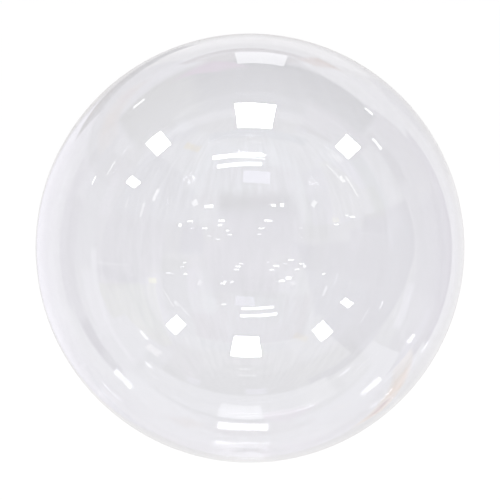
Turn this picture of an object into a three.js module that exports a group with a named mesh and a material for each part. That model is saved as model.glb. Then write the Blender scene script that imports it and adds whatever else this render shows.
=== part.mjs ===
// A clear bubble balloon: one sealed envelope of clear film, blown up tight into a ball and
// lying on a level surface. Millimetres, +Z up. The origin is the centre of the flat it rests on,
// so the ball stands above it and is the same all round the Z axis.
//
// The envelope is closed, so it is modelled as the solid that it encloses. The film itself is
// under a tenth of a millimetre thick.
import * as THREE from 'three';

// Driving dimensions
const BALL_DIAMETER = 500; // across the middle of the blown-up film
const REST_DIAMETER = 80; // the flat that the film makes where it lies

// Worked out from them
const BALL_RADIUS = BALL_DIAMETER / 2;
const REST_RADIUS = REST_DIAMETER / 2;
const REST_ANGLE = Math.asin(REST_RADIUS / BALL_RADIUS); // the flat's rim, seen from the ball's centre
const CENTRE_HEIGHT = BALL_RADIUS * Math.cos(REST_ANGLE);

// Steps of the round surface. A multiple of four puts corners on the X and Y axes, so the
// faceted ball is exactly as wide as the real one.
const SIDES = 88;
const STEPS_BELOW_MIDDLE = 26;
const STEPS_ABOVE_MIDDLE = 28;

// Points of the ball's outline between two heights, as angles above its middle. The first angle
// is left out, so that stretches join without a doubled point.
function ballArc(fromAngle, toAngle, steps) {
  const points = [];
  for (let step = 1; step <= steps; step += 1) {
    const angle = fromAngle + ((toAngle - fromAngle) * step) / steps;
    const radius = BALL_RADIUS * Math.cos(angle);
    points.push(new THREE.Vector2(radius, CENTRE_HEIGHT + BALL_RADIUS * Math.sin(angle)));
  }
  return points;
}

// The envelope's half outline: the resting flat, the lower bowl and the upper dome. It starts and
// ends on the axis.
function envelopeOutline() {
  const restRim = REST_ANGLE - Math.PI / 2;
  const crown = new THREE.Vector2(0, CENTRE_HEIGHT + BALL_RADIUS);
  const dome = ballArc(0, Math.PI / 2, STEPS_ABOVE_MIDDLE);
  dome[dome.length - 1] = crown;
  return [
    new THREE.Vector2(0, 0),
    new THREE.Vector2(REST_RADIUS, 0),
    ...ballArc(restRim, 0, STEPS_BELOW_MIDDLE),
    ...dome,
  ];
}

const clearFilm = new THREE.MeshStandardMaterial({
  name: 'clear_film',
  color: 0xe2e2e8,
  roughness: 0.05,
  metalness: 0,
  transparent: true,
  opacity: 0.3,
});

// A lathe turns its outline round the Y axis, so the ball is stood up on Z.
function filmEnvelope() {
  const geometry = new THREE.LatheGeometry(envelopeOutline(), SIDES);
  geometry.rotateX(Math.PI / 2);
  const envelope = new THREE.Mesh(geometry, clearFilm);
  envelope.name = 'film_envelope';
  return envelope;
}

const group = new THREE.Group();
group.add(filmEnvelope());

export default group;
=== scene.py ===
"""A clear bubble balloon: a tight ball of thin, glossy, see-through film, lying on a pale studio floor.

Everything is in metres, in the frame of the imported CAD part: +Z up, the origin at the centre of the
flat that the balloon rests on. The film is so clear that most of its look is the studio that it
mirrors, once on its near side and once, upside down, on its far side. So the studio has two faces: the
plain white floor and sweep that are seen past the balloon and through it, and the hall, roof, table and
lamps that only its reflections show.
"""

import math
from collections import namedtuple

import bpy
from bpy.props import FloatProperty, FloatVectorProperty, IntProperty, PointerProperty
from mathutils import Matrix, Vector


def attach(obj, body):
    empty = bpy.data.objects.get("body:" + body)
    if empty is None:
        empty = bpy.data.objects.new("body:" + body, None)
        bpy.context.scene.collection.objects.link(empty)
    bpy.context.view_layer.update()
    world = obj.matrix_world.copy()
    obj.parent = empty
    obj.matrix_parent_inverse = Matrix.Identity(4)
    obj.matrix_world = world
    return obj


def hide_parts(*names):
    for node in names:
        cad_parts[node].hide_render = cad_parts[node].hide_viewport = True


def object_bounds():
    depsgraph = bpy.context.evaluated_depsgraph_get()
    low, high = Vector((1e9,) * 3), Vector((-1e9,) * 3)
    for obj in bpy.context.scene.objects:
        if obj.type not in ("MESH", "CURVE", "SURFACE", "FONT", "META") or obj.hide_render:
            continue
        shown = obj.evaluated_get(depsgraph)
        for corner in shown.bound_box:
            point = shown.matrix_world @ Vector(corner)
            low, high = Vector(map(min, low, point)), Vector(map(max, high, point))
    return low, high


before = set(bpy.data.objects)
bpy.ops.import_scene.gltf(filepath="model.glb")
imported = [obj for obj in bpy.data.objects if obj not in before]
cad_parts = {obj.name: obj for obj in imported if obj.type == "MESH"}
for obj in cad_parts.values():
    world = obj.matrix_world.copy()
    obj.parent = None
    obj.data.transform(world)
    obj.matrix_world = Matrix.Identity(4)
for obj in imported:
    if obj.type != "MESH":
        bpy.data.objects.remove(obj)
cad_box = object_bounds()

bl_info = {
    "name": "Clear bubble balloon",
    "version": (1, 0, 0),
    "blender": (4, 5, 0),
    "location": "View3D > Sidebar > Balloon",
    "description": "Blows up a clear film balloon and sets up the studio that it mirrors",
    "category": "Add Mesh",
}

NODE = "film_envelope"
MM = 0.001
WHITE = (1.0, 1.0, 1.0)

# The ball's own sizes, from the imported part
BALL_RADIUS = (cad_box[1].x - cad_box[0].x) / 2
CENTRE_HEIGHT = cad_box[1].z - BALL_RADIUS
REST_RADIUS = math.sqrt(BALL_RADIUS**2 - CENTRE_HEIGHT**2)
BALL_CENTRE = Vector((0.0, 0.0, CENTRE_HEIGHT))


# ---------------------------------------------------------------- settings


class FilmSettings(bpy.types.PropertyGroup):
    """Sizes and finish of the clear film."""

    thickness: FloatProperty(
        name="Film thickness",
        description="Thickness of the clear film",
        default=0.1 * MM,
        min=0.02 * MM,
        unit="LENGTH",
    )
    tint: FloatVectorProperty(
        name="Film tint",
        description="Colour left in light that has crossed the film once",
        default=(0.893, 0.893, 0.908),
        size=3,
        min=0.0,
        max=1.0,
        subtype="COLOR",
    )
    bending: FloatProperty(
        name="Index of refraction",
        description="How strongly the film bends and mirrors light",
        default=1.5,
        min=1.0,
    )
    ripple: FloatProperty(
        name="Ripple",
        description="Height of the slow waves that the blown-up film keeps",
        default=0.02 * MM,
        min=0.0,
        unit="LENGTH",
    )
    segments: IntProperty(
        name="Segments",
        description="Steps round the upright axis of the film ball",
        default=300,
        min=32,
    )
    rings: IntProperty(
        name="Rings",
        description="Steps from the bottom to the top of the film ball",
        default=150,
        min=16,
    )


class StudioSettings(bpy.types.PropertyGroup):
    """Camera, pale sweep and floor round the balloon."""

    camera_distance: FloatProperty(
        name="Camera distance",
        description="From the camera to the ball's centre, in ball radii",
        default=7.0,
        min=2.0,
    )
    camera_height_angle: FloatProperty(
        name="Camera height angle",
        description="How far the camera looks down on the ball",
        default=math.radians(6.0),
        subtype="ANGLE",
    )
    frame_fill: FloatProperty(
        name="Frame fill",
        description="Width of the ball as a share of the picture's width",
        default=0.8584,
        min=0.1,
        max=1.0,
    )
    white: FloatProperty(
        name="White level",
        description="Brightness of the pale sweep that is seen past the balloon and through it",
        default=1.005,
        min=0.0,
    )
    # a painted pool of light on the floor round the balloon
    floor_light_pool: FloatProperty(
        name="Floor light pool",
        description="How much brighter than the sweep the floor is beside the balloon",
        default=0.045,
        min=0.0,
    )


# ---------------------------------------------------------------- shader sums


class Wire:
    """An output socket that can stand in a Python sum. Each sum adds the nodes that work it out."""

    def __init__(self, tree, socket):
        self.tree = tree
        self.socket = socket

    def math(self, operation, *values):
        return add_node(self.tree, "ShaderNodeMath", {"operation": operation}, dict(enumerate(values)))

    def __add__(self, other):
        return self.math("ADD", self, other)

    def __sub__(self, other):
        return self.math("SUBTRACT", self, other)

    def __rsub__(self, other):
        return self.math("SUBTRACT", other, self)

    def __mul__(self, other):
        return self.math("MULTIPLY", self, other)

    def __truediv__(self, other):
        return self.math("DIVIDE", self, other)

    def __neg__(self):
        return self.math("MULTIPLY", self, -1.0)

    def __abs__(self):
        return self.math("ABSOLUTE", self)

    def most(self, other):
        return self.math("MAXIMUM", self, other)

    def angle_to(self, other):
        """The turn, in degrees, whose sine and cosine go as this wire and the other."""
        return self.math("ARCTAN2", self, other) * math.degrees(1)

    def arcsine(self):
        return self.math("ARCSINE", self) * math.degrees(1)

    def above(self, low, high):
        """0 at low, 1 at high and a soft step between them, whichever is the larger."""
        inputs = {"Value": self, "From Min": low, "From Max": high}
        return add_node(self.tree, "ShaderNodeMapRange", {"interpolation_type": "SMOOTHSTEP"}, inputs)


def add_node(tree, kind, settings=None, inputs=None, output=0):
    """Adds a node: its settings first, then a value or a wire for each socket. Gives back one output."""
    node = tree.nodes.new(kind)
    for name, value in (settings or {}).items():
        setattr(node, name, value)
    for name, value in (inputs or {}).items():
        if isinstance(value, Wire):
            tree.links.new(value.socket, node.inputs[name])
        else:
            node.inputs[name].default_value = value
    if not node.outputs:
        return None
    return Wire(tree, node.outputs[output])


def mix_colours(tree, share, first, second):
    """The first colour where share is 0 and the second where it is 1."""
    inputs = {0: share, 6: first, 7: second}
    return add_node(tree, "ShaderNodeMix", {"data_type": "RGBA"}, inputs, 2)


def opaque(colour):
    return (*colour, 1.0)


def fresh_tree(owner):
    owner.use_nodes = True
    owner.node_tree.nodes.clear()
    return owner.node_tree


def parts_of(tree, vector):
    """The X, Y and Z of a vector wire."""
    first = add_node(tree, "ShaderNodeSeparateXYZ", None, {0: vector})
    return [Wire(tree, socket) for socket in first.socket.node.outputs]


BELOW_HALF, ABOVE_HALF = 0.4, 0.6  # a count of bounces is whole, so these tell 0 from 1


def in_reflection(tree):
    """1 for what a reflection in the film shows, 0 for what is seen past the film or through it."""
    mirrored = add_node(tree, "ShaderNodeLightPath", None, None, "Glossy Depth")
    scattered = add_node(tree, "ShaderNodeLightPath", None, None, "Diffuse Depth")
    return mirrored.above(BELOW_HALF, ABOVE_HALF) * scattered.above(ABOVE_HALF, BELOW_HALF)


# ---------------------------------------------------------------- film


def deselect_everything():
    if bpy.context.object is not None and bpy.context.object.mode != "OBJECT":
        bpy.ops.object.mode_set(mode="OBJECT")
    bpy.ops.object.select_all(action="DESELECT")


# The film's slight unevenness. Scales are those of the noise, so a larger one makes finer marks.
CLOUD_SCALE = 5.0
FINE_WAVE_SCALE = 14.0
STREAKS_ROUND = 22.0  # the streaks run up and down the ball, so they change fast round it
STREAKS_UPWARD = 3.0
STREAK_SHARE = 0.4  # of the haze, the rest of which is cloud
HAZE_SPAN = (0.3, 0.7)  # the stretch of the haze that goes from thin film to thick
THIN_TINT = 1.006
THICK_TINT = 0.992
FINE_WAVE_HEIGHT = 0.02 * MM
FINE_WAVE_STRENGTH = 0.5
STREAK_RELIEF = 0.3


def clear_film(settings):
    """Clear, glossy film with a faint cool cast and the slight streaks of stretched plastic."""
    material = bpy.data.materials.new("clear_film")
    tree = fresh_tree(material)
    place = add_node(tree, "ShaderNodeTexCoord", None, None, "Object")
    x, y, z = parts_of(tree, place)
    cloud = add_node(
        tree, "ShaderNodeTexNoise", None, {"Vector": place, "Scale": CLOUD_SCALE, "Detail": 3.0}
    )
    spokes = add_node(tree, "ShaderNodeCombineXYZ", None, {0: x, 1: y})
    spokes = add_node(tree, "ShaderNodeVectorMath", {"operation": "NORMALIZE"}, {0: spokes})
    spoke_x, spoke_y, _ = parts_of(tree, spokes)
    stretches = {0: spoke_x * STREAKS_ROUND, 1: spoke_y * STREAKS_ROUND, 2: z * STREAKS_UPWARD}
    stretched = add_node(tree, "ShaderNodeCombineXYZ", None, stretches)
    streaks = add_node(
        tree, "ShaderNodeTexNoise", None, {"Vector": stretched, "Scale": 1.0, "Detail": 4.0}
    )
    haze = cloud * (1 - STREAK_SHARE) + streaks * STREAK_SHARE
    thin = opaque([min(1.0, c * THIN_TINT) for c in settings.tint])
    thick = opaque([c * THICK_TINT for c in settings.tint])
    colour = mix_colours(tree, haze.above(*HAZE_SPAN), thin, thick)
    waves = add_node(
        tree, "ShaderNodeTexNoise", None, {"Vector": place, "Scale": FINE_WAVE_SCALE, "Detail": 1.0}
    )
    relief = waves + streaks * STREAK_RELIEF
    bump = add_node(
        tree,
        "ShaderNodeBump",
        None,
        {"Strength": FINE_WAVE_STRENGTH, "Distance": FINE_WAVE_HEIGHT, "Height": relief},
    )
    film = add_node(
        tree,
        "ShaderNodeBsdfPrincipled",
        None,
        {
            "Base Color": colour,
            "Roughness": 0.0,
            "IOR": settings.bending,
            "Transmission Weight": 1.0,
            "Normal": bump,
        },
    )
    add_node(tree, "ShaderNodeOutputMaterial", None, {"Surface": film})
    return material


def in_edit_mesh(obj, choose, kind="vertices"):
    """Selects those of the mesh's vertices or polygons that choose(item) picks, and enters edit mode."""
    bpy.context.view_layer.objects.active = obj
    bpy.ops.object.mode_set(mode="EDIT")
    bpy.ops.mesh.select_mode(type={"vertices": "VERT", "polygons": "FACE"}[kind])
    bpy.ops.mesh.select_all(action="DESELECT")
    bpy.ops.object.mode_set(mode="OBJECT")
    for item in getattr(obj.data, kind):
        item.select = choose(item)
    bpy.ops.object.mode_set(mode="EDIT")


# Rings of the underside, from the rim of the flat inwards: radius, and height above the floor, in mm.
# The film is drawn in towards the middle, where the filling neck was welded and trimmed.
NECK_RINGS = (
    (36.0, 0.0),
    (31.0, 0.25),
    (26.0, 0.6),
    (21.0, 1.0),
    (16.0, 1.6),
    (11.0, 2.4),
    (7.5, 3.1),
    (4.5, 3.4),
)
RING_REACH = 1.01  # a ring's own corners lie within this share of its radius
PLEATS = 16
PLEAT_FROM = 6 * MM  # the pleats run between these distances from the middle
PLEAT_TO = 17 * MM
PLEAT_SHARE = 0.45  # of the way from one pleat to the next
PLEAT_HEIGHT = 0.2 * MM
RIM_FROM = REST_RADIUS - 17 * MM  # the flat's rim is smoothed between these distances from its middle
RIM_TO = REST_RADIUS + 18 * MM
RIM_SMOOTHING = 14
RIM_LIFT = 0.4 * MM  # how far the smoothing raises the flat, which is cut that much too low
UNDERSIDE_TOP = 5 * MM  # the flat, its neck and its rim all lie lower than this
SLOW_WAVE_SCALE = BALL_RADIUS * 0.6


def on_underside(nearest, farthest):
    """Picks the corners of the underside between two distances from its middle."""
    return lambda v: v.co.z < UNDERSIDE_TOP and nearest <= v.co.xy.length < farthest


def film_ball(settings):
    """The blown-up film, flat where it rests, with its welded neck drawn in under it."""
    deselect_everything()
    bpy.ops.mesh.primitive_uv_sphere_add(
        segments=settings.segments,
        ring_count=settings.rings,
        radius=BALL_RADIUS,
        location=BALL_CENTRE,
    )
    ball = bpy.context.object
    ball.name = "clear_film_ball"
    bpy.ops.object.transform_apply(location=True, rotation=True, scale=True)

    # slow waves in the stretched film
    cloud = bpy.data.textures.new("slow_waves", "CLOUDS")
    cloud.noise_scale = SLOW_WAVE_SCALE
    waves = ball.modifiers.new("slow waves", "DISPLACE")
    waves.texture = cloud
    waves.texture_coords = "LOCAL"
    waves.mid_level = 0.5
    waves.strength = 2 * settings.ripple
    bpy.ops.object.modifier_apply(modifier=waves.name)

    # the flat that it rests on
    bpy.ops.object.mode_set(mode="EDIT")
    bpy.ops.mesh.select_all(action="SELECT")
    bpy.ops.mesh.bisect(
        plane_co=(0, 0, -RIM_LIFT), plane_no=(0, 0, 1), use_fill=True, clear_inner=True
    )
    bpy.ops.object.mode_set(mode="OBJECT")
    in_edit_mesh(ball, lambda face: len(face.vertices) > 4, "polygons")
    ring_radius = REST_RADIUS
    for radius, _ in NECK_RINGS:
        bpy.ops.mesh.inset(thickness=ring_radius - radius * MM, depth=0.0)
        ring_radius = radius * MM
    bpy.ops.object.mode_set(mode="OBJECT")

    # each ring is raised with all that lies inside it, so it only needs what the last one didn't give
    raised = 0.0
    for radius, height in NECK_RINGS:
        in_edit_mesh(ball, on_underside(0.0, radius * RING_REACH * MM))
        bpy.ops.transform.translate(value=(0, 0, (height - raised) * MM))
        bpy.ops.object.mode_set(mode="OBJECT")
        raised = height

    # pleats round the weld
    pleat_step = 2 * math.pi / PLEATS
    near_weld = on_underside(PLEAT_FROM, PLEAT_TO)
    in_edit_mesh(
        ball,
        lambda v: near_weld(v) and math.atan2(v.co.y, v.co.x) % pleat_step < pleat_step * PLEAT_SHARE,
    )
    bpy.ops.transform.translate(value=(0, 0, PLEAT_HEIGHT))
    bpy.ops.object.mode_set(mode="OBJECT")

    # a soft edge round the flat, where the tight film bends up off the floor
    in_edit_mesh(ball, on_underside(RIM_FROM, RIM_TO))
    bpy.ops.mesh.vertices_smooth(factor=0.5, repeat=RIM_SMOOTHING)
    bpy.ops.object.mode_set(mode="OBJECT")

    wall = ball.modifiers.new("film thickness", "SOLIDIFY")
    wall.thickness = settings.thickness
    wall.offset = -1.0
    bpy.ops.object.modifier_apply(modifier=wall.name)
    bpy.ops.object.shade_smooth()
    return ball


class BALLOON_OT_film(bpy.types.Operator):
    """Blow up the clear film ball"""

    bl_idname = "balloon.film"
    bl_label = "Film ball"

    def execute(self, context):
        settings = context.scene.balloon_film
        ball = film_ball(settings)
        ball.data.materials.clear()
        ball.data.materials.append(clear_film(settings))
        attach(ball, "root")
        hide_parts(NODE)
        return {"FINISHED"}


# ---------------------------------------------------------------- camera


def camera_axes(settings):
    """Towards the camera, to its right and to its top, from the ball's centre."""
    tilt = settings.camera_height_angle
    towards = Vector((0, -math.cos(tilt), math.sin(tilt)))
    right = Vector((1, 0, 0))
    return towards, right, towards.cross(right)


SENSOR_WIDTH = 36.0
AIM_DROP = 0.0084 * BALL_RADIUS  # the camera aims this far under the ball's centre


def camera(settings):
    towards, _, up = camera_axes(settings)
    data = bpy.data.cameras.new("camera")
    data.sensor_width = SENSOR_WIDTH
    shown_half = math.tan(math.asin(1 / settings.camera_distance))
    data.lens = SENSOR_WIDTH / 2 * settings.frame_fill / shown_half
    obj = bpy.data.objects.new("camera", data)
    bpy.context.collection.objects.link(obj)
    obj.location = BALL_CENTRE + towards * settings.camera_distance * BALL_RADIUS
    aim = BALL_CENTRE - up * AIM_DROP
    obj.rotation_euler = (aim - obj.location).to_track_quat("-Z", "Y").to_euler()
    bpy.context.scene.camera = obj


# ---------------------------------------------------------------- lamps

# A flat lamp that faces the ball. off_line is its angle from the line to the camera and clock its turn
# round that line, from up, right positive, both in degrees; distance, width, height and lean, which
# slides its outer edge sideways, are in ball radii; taper is the width of its inner edge as a share of
# the outer one; turn spins it in its own plane; level is its brightness against the white of the studio
# and colour its cast.
Lamp = namedtuple("Lamp", "name off_line clock distance width height lean taper turn level colour")

PALE_BLUE = (0.84, 0.85, 1.0)

LAMPS = (
    Lamp("softbox_top", 64.7, 2.2, 4.69, 1.3, 1.18, 0.0, 0.86, 0, 30.0, WHITE),
    Lamp("softbox_left", 70.8, -41.1, 6.92, 0.90, 1.30, 0.0, 1.0, 0, 20.0, WHITE),
    Lamp("softbox_right", 70.0, 44.0, 5.03, 0.63, 0.93, 0.0, 1.0, 0, 20.0, WHITE),
    Lamp("softbox_far_left", 69.1, -59.2, 11.7, 0.79, 1.23, -0.57, 1.0, -29, 20.0, WHITE),
    Lamp("reflector_behind", 112.7, 3.3, 8.0, 1.95, 1.75, 0.0, 1.0, 0, 1.45, WHITE),
    Lamp("tube_upper", 43.6, -7.3, 4.9, 1.87, 0.17, 0.0, 1.0, -4.5, 14.0, WHITE),
    Lamp("tube_lower", 38.9, -7.3, 4.83, 1.6, 0.14, 0.0, 1.0, -4.5, 14.0, WHITE),
    Lamp("pale_panel", 33.4, 5.4, 6.0, 1.25, 0.62, 0.0, 1.0, 2, 3.0, PALE_BLUE),
)

# Small lights, and shiny fittings whose glints are painted as glowing cards, all round the studio:
# off_line, clock, width, height, turn, level
FITTINGS = (
    # higher than the ball
    (34.3, -50.7, 0.42, 0.42, -20, 3.0),
    (28.0, -44.5, 0.6, 0.24, -44, 9.0),
    (23.3, 28.9, 0.3, 0.2, 29, 9.0),
    (25.6, 36.5, 0.3, 0.2, 36, 9.0),
    (37.7, 55.3, 0.34, 0.5, 20, 3.0),
    (31.6, -65.9, 0.45, 0.12, -66, 7.0),
    (18.8, -45.8, 0.45, 0.12, -46, 9.0),
    (15.4, 32.1, 0.45, 0.12, 32, 9.0),
    (23.5, -66.3, 0.4, 0.1, -66, 6.0),
    (10.8, 29.5, 0.4, 0.1, 29, 7.0),
    (35.5, -71.8, 0.26, 0.26, 0, 6.0),
    (43.6, 74.6, 0.35, 0.12, 75, 6.0),
    (53.1, 73.0, 0.5, 0.12, 73, 5.0),
    (50.5, 71.5, 0.25, 0.1, 60, 4.0),
    (13.5, -52.0, 0.3, 0.1, -52, 6.0),
    (53.8, -60.4, 0.9, 0.26, 5, 3.2),
    (57.2, -70.3, 0.95, 0.2, 5, 2.4),
    (67.0, -70.0, 0.6, 0.14, 5, 2.0),
    (94.0, -66.5, 0.5, 0.16, 0, 5.0),
    (86.5, -60.0, 0.9, 0.14, 0, 2.6),
    (104.5, -37.6, 0.7, 0.25, 0, 2.6),
    (89.5, 50.6, 0.75, 0.3, 0, 4.0),
    (103.5, 41.0, 0.5, 0.3, 0, 3.0),
    (60.0, 58.6, 1.6, 0.14, 0, 2.4),
    (57.5, 53.2, 0.5, 0.3, 0, 3.0),
    (56.5, 47.0, 1.2, 0.12, 0, 2.4),
    # level with the ball or lower
    (10.2, -147, 0.42, 0.1, -147, 6.0),
    (21.1, -142.7, 0.32, 0.12, -143, 7.0),
    (32.1, -102.4, 0.3, 0.1, -102, 5.0),
    (33.5, -111.7, 0.26, 0.12, -112, 5.0),
    (29.6, -155, 0.35, 0.12, -155, 4.0),
    (14.9, 124, 0.4, 0.12, 124, 8.0),
    (20.2, 105.9, 0.42, 0.1, 106, 6.0),
    (25.8, 106.8, 0.36, 0.1, 107, 5.0),
    (23.2, 127.6, 0.42, 0.2, 128, 8.0),
    (37.7, 109.3, 0.26, 0.1, 109, 6.0),
)
FITTING_DISTANCE = 9.0  # in ball radii


def lamp_glow(colour, level):
    """Light that only reflections show, so that no lamp is seen through the film or lights the floor."""
    material = bpy.data.materials.new("lamp_glow")
    tree = fresh_tree(material)
    glow = add_node(tree, "ShaderNodeEmission", None, {"Color": opaque(colour), "Strength": level})
    unseen = add_node(tree, "ShaderNodeBsdfTransparent")
    both = add_node(tree, "ShaderNodeMixShader", None, {0: in_reflection(tree), 1: unseen, 2: glow})
    add_node(tree, "ShaderNodeOutputMaterial", None, {"Surface": both})
    material.cycles.emission_sampling = "NONE"
    return material


def hang_lamp(settings, lamp):
    towards, right, up = camera_axes(settings)
    off_line, clock = math.radians(lamp.off_line), math.radians(lamp.clock)
    across = right * math.sin(clock) + up * math.cos(clock)
    facing = towards * math.cos(off_line) + across * math.sin(off_line)
    height_axis = (across - facing * across.dot(facing)).normalized()
    width_axis = height_axis.cross(facing)
    placed = Matrix((width_axis, height_axis, facing)).transposed()
    placed = placed @ Matrix.Rotation(math.radians(lamp.turn), 3, "Z")
    deselect_everything()
    bpy.ops.mesh.primitive_plane_add(size=BALL_RADIUS, location=(0, 0, 0))
    obj = bpy.context.object
    obj.name = lamp.name
    obj.scale = (lamp.width, lamp.height, 1.0)
    bpy.ops.object.transform_apply(location=True, rotation=True, scale=True)
    if lamp.lean:
        in_edit_mesh(obj, lambda v: v.co.y > 0)
        bpy.ops.transform.translate(value=(lamp.lean * BALL_RADIUS, 0, 0))
        bpy.ops.object.mode_set(mode="OBJECT")
    if lamp.taper != 1.0:
        in_edit_mesh(obj, lambda v: v.co.y < 0)
        bpy.ops.transform.resize(value=(lamp.taper, 1, 1), center_override=(0, 0, 0))
        bpy.ops.object.mode_set(mode="OBJECT")
    obj.rotation_euler = placed.to_euler()
    obj.location = BALL_CENTRE + facing * lamp.distance * BALL_RADIUS
    bpy.ops.object.transform_apply(location=True, rotation=True, scale=True)
    obj.data.materials.append(lamp_glow(lamp.colour, lamp.level))


# ---------------------------------------------------------------- surroundings

# One patch of the studio, painted over the ones before it. On a wall, across is the turn from the
# camera's side, right positive, and along the height above level, in degrees. On the roof and the table,
# across is to the right and along to the back, as shares of the height over or under the ball. lean
# moves it across by that share of along, and soft is the width of its edges.
Patch = namedtuple("Patch", "name place left right low high lean soft colour")

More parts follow.
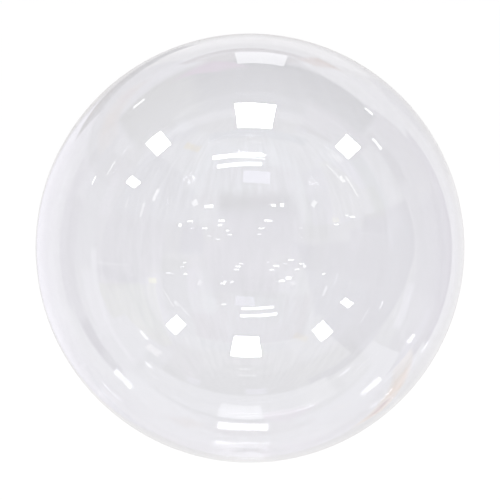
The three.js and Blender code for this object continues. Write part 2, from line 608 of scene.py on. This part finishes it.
BARE_WALL = (0.63, 0.61, 0.62)
PATCHES = (
    # the hall on the camera's side
    Patch("left wall", "wall", -105, -45, -50, 36, 0, 4, (0.82, 0.77, 0.85)),
    Patch("hall", "wall", -78, 76, 17, 63, 0, 5, (0.97, 0.98, 1.05)),
    Patch("hall glow", "wall", -36, 33, 33, 61, 0, 10, (1.24, 1.3, 1.42)),
    Patch("right wall", "wall", 33, 72, 16, 43, 0, 1, (0.84, 0.8, 0.96)),
    Patch("corner post", "wall", 71, 82, 12, 45, 0, 5, (0.34, 0.4, 0.4)),
    Patch("camera side", "wall", -33, 24, -16, 9, 0, 2, (0.68, 0.6, 0.71)),
    Patch("cupboard", "wall", -36, -24, 2, 16, 0, 2, (0.55, 0.5, 0.66)),
    Patch("dark shelf", "wall", 26, 60, -28, 7, -0.35, 3, (0.18, 0.13, 0.24)),
    Patch("dark screen", "wall", 56, 95, -50, 17, 0.45, 2, (0.12, 0.07, 0.17)),
    Patch("shelf box", "wall", 53, 64, 3, 12, 0, 2, (0.33, 0.27, 0.4)),
    Patch("dark beam", "wall", -12, 25, 6, 26, 0, 9, (0.4, 0.35, 0.46)),
    Patch("beam shade", "wall", -17, 25, 21, 33, 0, 8, (0.1, 0.07, 0.16)),
    Patch("dark stand", "wall", -18, 32, -44, -18, 0, 4, (0.24, 0.13, 0.16)),
    Patch("olive bag", "wall", -2, 18, -31, -17, 0, 5, (0.08, 0.06, 0.02)),
    Patch("red box", "wall", -32, -13, -42, -27, 0, 4, (0.3, 0.15, 0.21)),
    Patch("dark stool", "wall", -46, -32, -25, 0, 0, 2, (0.3, 0.3, 0.28)),
    Patch("window bar", "wall", -60, -57, -6, 26, 0, 1, (0.88, 0.84, 0.92)),
    Patch("low wall", "wall", -129, -109, -13.5, -5.5, -5.0, 2, (0.64, 0.59, 0.69)),
    Patch("wooden crate", "wall", -88, -50, -42, -12.5, 0, 1, (0.86, 0.86, 0.7)),
    Patch("shelf edge", "wall", -88, -66, -5.2, -4.4, 0, 0.6, (1.25, 1.2, 1.28)),
    Patch("amber jar", "wall", -55, -41, 52.4, 55.6, 0, 2, (1.05, 0.76, 0.12)),
    Patch("yellow tag", "wall", -53.5, -49, -12.2, -9.8, 0, 1, (1.7, 1.65, 0.8)),
    # the white sheets on the left and at the back
    Patch("left sheet", "wall", 196, 272, -90, 24, 0, 2, (0.97, 0.96, 1.02)),
    Patch("lit sheet", "wall", 205, 256, -30, 25, 0, 2, (1.08, 1.06, 1.12)),
    Patch("sheet glow", "wall", 204, 236, -22, 16, 0, 8, (1.17, 1.15, 1.22)),
    # painted shade in a fold of the lit sheet
    Patch("sheet fold", "wall", 242, 248, -20, 20, 0, 2, (0.95, 0.92, 1.0)),
    Patch("left top", "wall", 199, 268, 24, 52, 0, 3, (0.82, 0.81, 0.84)),
    Patch("bracket", "wall", 252, 264, 42, 53, 0, 4, (0.15, 0.14, 0.16)),
    Patch("back sheet", "wall", 127, 200, -90, 52, 0, 2, (0.94, 0.93, 0.93)),
    Patch("sheet shade", "wall", 150, 202, 4, 19, 0, 6, (0.84, 0.83, 0.83)),
    # painted shade along a crease in the back sheet
    Patch("sheet crease", "wall", 146, 160, 14, 26, 0, 3, (0.8, 0.79, 0.81)),
    Patch("left shade", "wall", 188, 216, 16, 24.5, 0, 2, (0.6, 0.59, 0.6)),
    Patch("curtain", "wall", 95, 127, -62, 44, 0, 2, (0.56, 0.52, 0.57)),
    Patch("curtain edge", "wall", 124, 133, -26, 26, 0, 2, (0.56, 0.52, 0.57)),
    Patch("curtain shade", "wall", 98, 124, -16, 12, 0, 4, (0.45, 0.41, 0.47)),
    Patch("curtain top", "wall", 100, 108, 34, 45, 0, 3, (0.61, 0.59, 0.62)),
    Patch("curtain light", "wall", 90, 96.5, -29, -13, 0, 2, (0.98, 0.94, 1.03)),
    Patch("back top", "wall", 160, 200, 48, 64, 0, 6, (0.5, 0.45, 0.43)),
    Patch("back line", "wall", 160, 204, 43.5, 47.5, 0, 2, (0.5, 0.45, 0.44)),
    Patch("back light", "wall", 158, 194, 23, 36, 0, 3, (1.05, 1.04, 1.04)),
    Patch("rust cloth", "wall", 154, 162, 38, 48, 0, 4, (0.66, 0.5, 0.42)),
    # the roof
    Patch("black roof", "roof", -0.62, 1.0, -0.12, 0.62, 0, 0.1, (0.0, 0.0, 0.0)),
    Patch("roof side", "roof", 0.4, 1.15, -0.3, 0.1, 0, 0.1, (0.28, 0.22, 0.27)),
    Patch("roof corner", "roof", -1.1, -0.35, -0.1, 0.7, 0, 0.15, (0.3, 0.3, 0.23)),
    Patch("roof rail", "roof", -0.35, 0.5, -0.48, -0.38, 0, 0.03, (0.5, 0.57, 0.68)),
    Patch("plum cloth", "wall", 275, 298, 54, 65, -1.44, 5, (0.48, 0.2, 0.4)),
    # the table
    Patch("table", "table", -9, 1.35, -0.25, 1.2, 0, 0.02, (1.05, 1.03, 1.08)),
    # painted shade over the front of the table
    Patch("table front", "table", -0.8, 1.0, -1.05, -0.25, 0, 0.02, (0.79, 0.76, 0.76)),
    Patch("screen foot", "table", 0.45, 1.6, -0.34, -0.22, 0, 0.05, (0.36, 0.31, 0.42)),
    Patch("paper slip", "table", -0.15, 0.15, -1.0, -0.8, 0, 0.04, (1.0, 1.08, 0.85)),
    Patch("table joint", "table", -0.25, 0.2, -0.68, -0.58, 0, 0.04, (0.5, 0.5, 0.45)),
    Patch("left table", "table", -2.0, -0.75, -0.6, 0.4, 0, 0.06, (1.08, 1.07, 1.13)),
    Patch("right table", "table", 0.7, 1.0, -0.2, 0.05, 0, 0.03, (1.25, 1.22, 1.3)),
    # painted pool of lamp light on the table beneath the ball
    Patch("under the lamp", "table", -0.9, 0.6, -0.25, 0.06, 0, 0.04, (1.45, 1.43, 1.49)),
    Patch("right gap", "table", 0.25, 0.75, 0.5, 1.3, 1.5, 0.05, (0.7, 0.66, 0.74)),
    Patch("white card", "table", -1.1, -0.88, -0.5, -0.38, 0, 0.02, (2.0, 1.95, 1.95)),
    Patch("pale slip", "table", -0.03, 0.12, -0.34, -0.27, 0, 0.01, (1.35, 1.3, 1.5)),
    Patch("left slip", "table", -0.5, -0.38, -0.35, -0.27, 0, 0.01, (1.2, 1.15, 1.3)),
    Patch("front line", "table", -0.09, 0.01, -0.62, -0.6, 0, 0.01, (1.7, 1.7, 1.7)),
    Patch("second line", "table", -0.1, 0.05, -0.53, -0.51, 0, 0.01, (1.7, 1.7, 1.7)),
    Patch("table edge", "table", -0.25, 0.75, -0.17, -0.155, 0.12, 0.01, (1.6, 1.58, 1.68)),
    Patch("bright fold", "wall", 262, 272, -31, -8, 0, 2, (1.28, 1.25, 1.34)),
    Patch("left hem", "wall", 270, 274, -44, 0, 0, 2, (1.4, 1.37, 1.46)),
    # painted shade in the gap between the table and the left sheet, deepest low down
    Patch("left gap top", "wall", 247.5, 257, -30, 14, 0, 3, (0.84, 0.81, 0.88)),
    Patch("left gap", "wall", 248, 257, -44, -24, 0, 3, (0.46, 0.42, 0.5)),
    Patch("wooden rail", "wall", 118, 156, -39, -31, 0, 2, (1.02, 0.9, 0.81)),
    Patch("rail middle", "wall", 130, 144, -37.5, -32.5, 0, 2, (1.05, 0.82, 0.64)),
    Patch("rail end", "wall", 146, 153, -37, -34, 0, 2, (0.78, 0.56, 0.53)),
)
BEHIND = 90  # walls from this turn on are measured from 0 to 360, so that none is cut at the back
LEAST_RISE = 0.02  # keeps the roof and the table from dividing by nothing at the level of the ball
LEVEL_FADE = 0.1  # they fade in over this much rise or fall
CLUTTER_ACROSS = 0.35  # noise steps in a degree of turn, and of height
CLUTTER_UP = 0.045
CLUTTER_SPAN = (0.25, 0.75)
CLUTTER_DEPTH = 0.6  # from the darkest streak to the brightest
HALL_SPAN = (-0.1, 0.6)  # how far a direction points to the camera's side, from no streaks to all of them


def surroundings(tree, x, y, z):
    """Colour of the hall, sheets, roof and table in each direction from the balloon."""
    turn = x.angle_to(-y)
    turn_behind = 180 - x.angle_to(y)
    height = z.arcsine()
    up, down = z.most(LEAST_RISE), (-z).most(LEAST_RISE)
    places = {
        "roof": (x / up, y / up, z.above(0.0, LEVEL_FADE)),
        "table": (x / down, y / down, z.above(0.0, -LEVEL_FADE)),
    }
    colour = opaque(BARE_WALL)
    for patch in PATCHES:
        if patch.place == "wall":
            across, along = (turn_behind if patch.left > BEHIND else turn), height
        else:
            across, along, facing_it = places[patch.place]
        if patch.lean:
            across = across - along * patch.lean
        past_side = abs(across - (patch.left + patch.right) / 2) - (patch.right - patch.left) / 2
        past_end = abs(along - (patch.low + patch.high) / 2) - (patch.high - patch.low) / 2
        mask = past_side.most(past_end).above(patch.soft / 2, -patch.soft / 2)
        if patch.place != "wall":
            mask = mask * facing_it
        colour = mix_colours(tree, mask, colour, opaque(patch.colour))
    # things too small to tell apart: upright streaks in the hall, none on the sheets behind the balloon
    spread = {0: turn * CLUTTER_ACROSS, 1: height * CLUTTER_UP}
    spread = add_node(tree, "ShaderNodeCombineXYZ", None, spread)
    clutter = add_node(tree, "ShaderNodeTexNoise", None, {"Vector": spread, "Scale": 1.0, "Detail": 3.0})
    in_hall = (-y).above(*HALL_SPAN)
    brightness = (clutter.above(*CLUTTER_SPAN) - 0.5) * CLUTTER_DEPTH * in_hall + 1.0
    return add_node(
        tree, "ShaderNodeVectorMath", {"operation": "SCALE"}, {0: colour, "Scale": brightness}
    )


def studio_world(settings):
    """White where it is seen past the balloon or through it, and the furnished studio in reflections."""
    world = bpy.data.worlds.new("studio")
    bpy.context.scene.world = world
    tree = fresh_tree(world)
    direction = add_node(tree, "ShaderNodeTexCoord", None, None, "Generated")
    x, y, z = parts_of(tree, direction)
    furnished = add_node(
        tree, "ShaderNodeBackground", None, {"Color": surroundings(tree, x, y, z), "Strength": 1.0}
    )
    plain = add_node(
        tree, "ShaderNodeBackground", None, {"Color": opaque(WHITE), "Strength": settings.white}
    )
    both = add_node(tree, "ShaderNodeMixShader", None, {0: in_reflection(tree), 1: plain, 2: furnished})
    add_node(tree, "ShaderNodeOutputWorld", None, {"Surface": both})
    world.cycles.sampling_method = "NONE"


FLOOR_RADIUS = 30.0
FLOOR_SIDES = 96
FLOOR_DROP = 0.3 * MM  # the floor lies this far under the film, so that the two don't touch
FLOOR_FADE = 32 * BALL_RADIUS  # how far out the painted pool of light on the floor reaches


def studio_floor(settings):
    """A plain white floor, with a painted pool of light that makes it a little brighter beside the
    balloon.
    """
    deselect_everything()
    bpy.ops.mesh.primitive_circle_add(
        vertices=FLOOR_SIDES, radius=FLOOR_RADIUS, fill_type="NGON", location=(0, 0, -FLOOR_DROP)
    )
    obj = bpy.context.object
    obj.name = "floor"
    bpy.ops.object.transform_apply(location=True, rotation=True, scale=True)
    material = bpy.data.materials.new("pale_floor")
    tree = fresh_tree(material)
    place = add_node(tree, "ShaderNodeTexCoord", None, None, "Object")
    length = add_node(tree, "ShaderNodeVectorMath", {"operation": "LENGTH"}, {0: place}, "Value")
    # painted pool of light: the floor's glow grows towards the balloon
    near = length.above(FLOOR_FADE, 0.0)
    colour = mix_colours(tree, near, opaque(WHITE), opaque([1 + settings.floor_light_pool] * 3))
    lit = add_node(tree, "ShaderNodeEmission", None, {"Color": colour, "Strength": settings.white})
    away = add_node(tree, "ShaderNodeBsdfTransparent")
    both = add_node(tree, "ShaderNodeMixShader", None, {0: in_reflection(tree), 1: lit, 2: away})
    add_node(tree, "ShaderNodeOutputMaterial", None, {"Surface": both})
    material.cycles.emission_sampling = "NONE"
    obj.data.materials.append(material)


class BALLOON_OT_studio(bpy.types.Operator):
    """Set up the camera, the pale floor, the lamps and the studio that the film mirrors"""

    bl_idname = "balloon.studio"
    bl_label = "Studio"

    def execute(self, context):
        settings = context.scene.balloon_studio
        camera(settings)
        studio_floor(settings)
        for lamp in LAMPS:
            hang_lamp(settings, lamp)
        for number, (off_line, clock, width, height, turn, level) in enumerate(FITTINGS, 1):
            size = (FITTING_DISTANCE, width, height)
            fitting = Lamp(f"fitting_{number}", off_line, clock, *size, 0.0, 1.0, turn, level, WHITE)
            hang_lamp(settings, fitting)
        studio_world(settings)
        scene = context.scene
        scene.view_settings.view_transform = "Standard"
        scene.cycles.max_bounces = 32
        scene.cycles.glossy_bounces = 12
        scene.cycles.transmission_bounces = 32
        scene.cycles.transparent_max_bounces = 32
        scene.cycles.sample_clamp_indirect = 0.0
        return {"FINISHED"}


# ---------------------------------------------------------------- panel


class BALLOON_PT_panel(bpy.types.Panel):
    """Lists the steps that build the balloon"""

    bl_idname = "BALLOON_PT_panel"
    bl_label = "Clear bubble balloon"
    bl_space_type = "VIEW_3D"
    bl_region_type = "UI"
    bl_category = "Balloon"

    def draw(self, context):
        self.layout.operator(BALLOON_OT_studio.bl_idname)
        self.layout.operator(BALLOON_OT_film.bl_idname)


CLASSES = (
    FilmSettings,
    StudioSettings,
    BALLOON_OT_studio,
    BALLOON_OT_film,
    BALLOON_PT_panel,
)


def register():
    for cls in CLASSES:
        bpy.utils.register_class(cls)
    bpy.types.Scene.balloon_film = PointerProperty(type=FilmSettings)
    bpy.types.Scene.balloon_studio = PointerProperty(type=StudioSettings)


def unregister():
    del bpy.types.Scene.balloon_studio
    del bpy.types.Scene.balloon_film
    for cls in reversed(CLASSES):
        bpy.utils.unregister_class(cls)


def main():
    register()
    bpy.ops.balloon.studio()
    bpy.ops.balloon.film()


if __name__ == "__main__":
    main()
